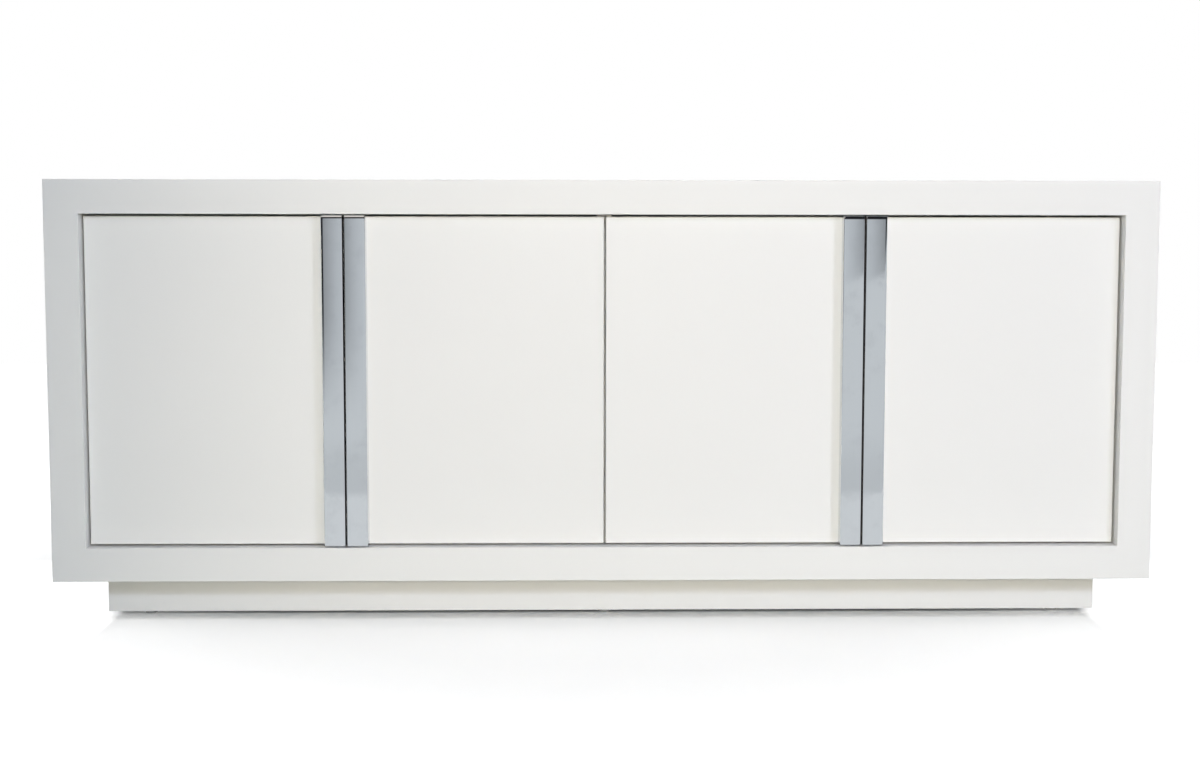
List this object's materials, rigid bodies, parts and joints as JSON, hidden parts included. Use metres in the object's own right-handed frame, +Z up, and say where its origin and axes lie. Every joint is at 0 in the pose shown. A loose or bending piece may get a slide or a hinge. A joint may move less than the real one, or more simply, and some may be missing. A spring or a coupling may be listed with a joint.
{
  "type": "tv stand",
  "caption": "Low media cabinet: thick white frame case on a recessed plinth, flush hinged doors with full-height metal bar pulls, shelved bays and rear cable ports.",
  "frame": {"origin": "floor point under the middle of the case: bottom centre of the bounding box", "axes": "+Z up, +X to the right along the length as seen from the front, -Y is the front with the doors"},
  "size_m": [1.829, 0.457, 0.732],
  "materials": {
    "white_lacquer": "satin white lacquer on board",
    "polished_chrome": "polished chrome plate",
    "plated_steel": "nickel-plated steel",
    "white_plastic": "moulded white plastic",
    "grey_plastic": "moulded grey plastic",
    "beech_dowel": "plain beech",
    "birch_block": "plain birch",
    "magnet": "sintered ferrite"
  },
  "bodies": {
    "case": {"back_panel": "white_lacquer", "back_panel_screws": "plated_steel", "cable_grommets": "grey_plastic", "case_bottom": "white_lacquer", "case_dowels": "beech_dowel", "case_left_side": "white_lacquer", "case_right_side": "white_lacquer", "case_top": "white_lacquer", "catch_housings": "white_plastic", "catch_magnets": "magnet", "catch_screws": "plated_steel", "centre_partition": "white_lacquer", "floor_glides": "grey_plastic", "hinge_screws": "plated_steel", "left_inner_hinge_arms": "plated_steel", "left_inner_hinge_plates": "plated_steel", "left_outer_hinge_arms": "plated_steel", "left_outer_hinge_plates": "plated_steel", "left_shelf": "white_lacquer", "plinth_brace": "white_lacquer", "plinth_corner_blocks": "birch_block", "plinth_front_rail": "white_lacquer", "plinth_left_rail": "white_lacquer", "plinth_rear_rail": "white_lacquer", "plinth_right_rail": "white_lacquer", "plinth_screws": "plated_steel", "right_inner_hinge_arms": "plated_steel", "right_inner_hinge_plates": "plated_steel", "right_outer_hinge_arms": "plated_steel", "right_outer_hinge_plates": "plated_steel", "right_shelf": "white_lacquer", "shelf_pins": "plated_steel"},
    "left_outer_door": {"left_outer_door_panel": "white_lacquer", "left_outer_door_screws": "plated_steel", "left_outer_hinge_cups": "plated_steel", "left_outer_hinge_pins": "plated_steel", "left_outer_pull": "polished_chrome", "left_outer_pull_screws": "plated_steel", "left_outer_strike_plate": "plated_steel"},
    "left_inner_door": {"left_inner_door_panel": "white_lacquer", "left_inner_door_screws": "plated_steel", "left_inner_hinge_cups": "plated_steel", "left_inner_hinge_pins": "plated_steel", "left_inner_pull": "polished_chrome", "left_inner_pull_screws": "plated_steel", "left_inner_strike_plate": "plated_steel"},
    "right_inner_door": {"right_inner_door_panel": "white_lacquer", "right_inner_door_screws": "plated_steel", "right_inner_hinge_cups": "plated_steel", "right_inner_hinge_pins": "plated_steel", "right_inner_pull": "polished_chrome", "right_inner_pull_screws": "plated_steel", "right_inner_strike_plate": "plated_steel"},
    "right_outer_door": {"right_outer_door_panel": "white_lacquer", "right_outer_door_screws": "plated_steel", "right_outer_hinge_cups": "plated_steel", "right_outer_hinge_pins": "plated_steel", "right_outer_pull": "polished_chrome", "right_outer_pull_screws": "plated_steel", "right_outer_strike_plate": "plated_steel"}
  },
  "joints": [
    {"name": "left_outer_door_hinge", "type": "hinge", "parent": "case", "child": "left_outer_door", "pos_m": [-0.8313, -0.199, 0.4005], "axis": [0, 0, -1], "range_deg": [0, 95]},
    {"name": "left_inner_door_hinge", "type": "hinge", "parent": "case", "child": "left_inner_door", "pos_m": [-0.0256, -0.199, 0.4005], "axis": [0, 0, 1], "range_deg": [0, 88]},
    {"name": "right_inner_door_hinge", "type": "hinge", "parent": "case", "child": "right_inner_door", "pos_m": [0.0256, -0.199, 0.4005], "axis": [0, 0, -1], "range_deg": [0, 88]},
    {"name": "right_outer_door_hinge", "type": "hinge", "parent": "case", "child": "right_outer_door", "pos_m": [0.8313, -0.199, 0.4005], "axis": [0, 0, 1], "range_deg": [0, 95]}
  ]
}
